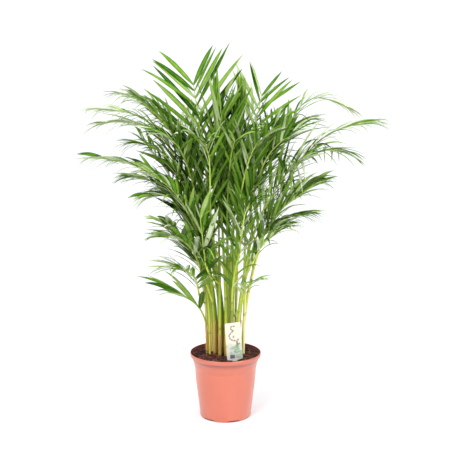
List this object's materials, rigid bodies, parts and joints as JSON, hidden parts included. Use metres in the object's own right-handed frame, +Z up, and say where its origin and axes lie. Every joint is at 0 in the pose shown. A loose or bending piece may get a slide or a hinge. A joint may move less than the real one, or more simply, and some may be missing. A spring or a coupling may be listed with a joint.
{
  "type": "potted palm",
  "caption": "Young clump palm with arching feathery fronds on slender stalks, in a tapered plastic pot of soil with a plant label.",
  "frame": {"origin": "centre of the underside of the pot", "axes": "+Z up along the pot's axis, -Y towards the side with the plant label"},
  "size_m": [0.9127, 0.7291, 1.1018],
  "materials": {
    "pot": "terracotta-coloured plastic with a soft sheen",
    "soil": "dark crumbly potting soil",
    "foliage": "green leaflets with a soft wax sheen on yellow-green stalks",
    "label": "thin pale plastic card"
  },
  "bodies": {
    "root": {"pot": "pot", "soil": "soil", "label": "label", "shoot_01": "foliage", "shoot_02": "foliage", "shoot_03": "foliage", "shoot_04": "foliage", "shoot_05": "foliage", "shoot_06": "foliage", "shoot_07": "foliage", "shoot_08": "foliage", "shoot_09": "foliage", "shoot_10": "foliage", "shoot_11": "foliage", "shoot_12": "foliage", "shoot_13": "foliage", "shoot_14": "foliage", "shoot_15": "foliage", "shoot_16": "foliage", "shoot_17": "foliage", "shoot_18": "foliage", "shoot_19": "foliage", "shoot_20": "foliage", "shoot_21": "foliage", "shoot_22": "foliage", "shoot_23": "foliage", "shoot_24": "foliage", "shoot_25": "foliage", "shoot_26": "foliage"}
  },
  "joints": []
}
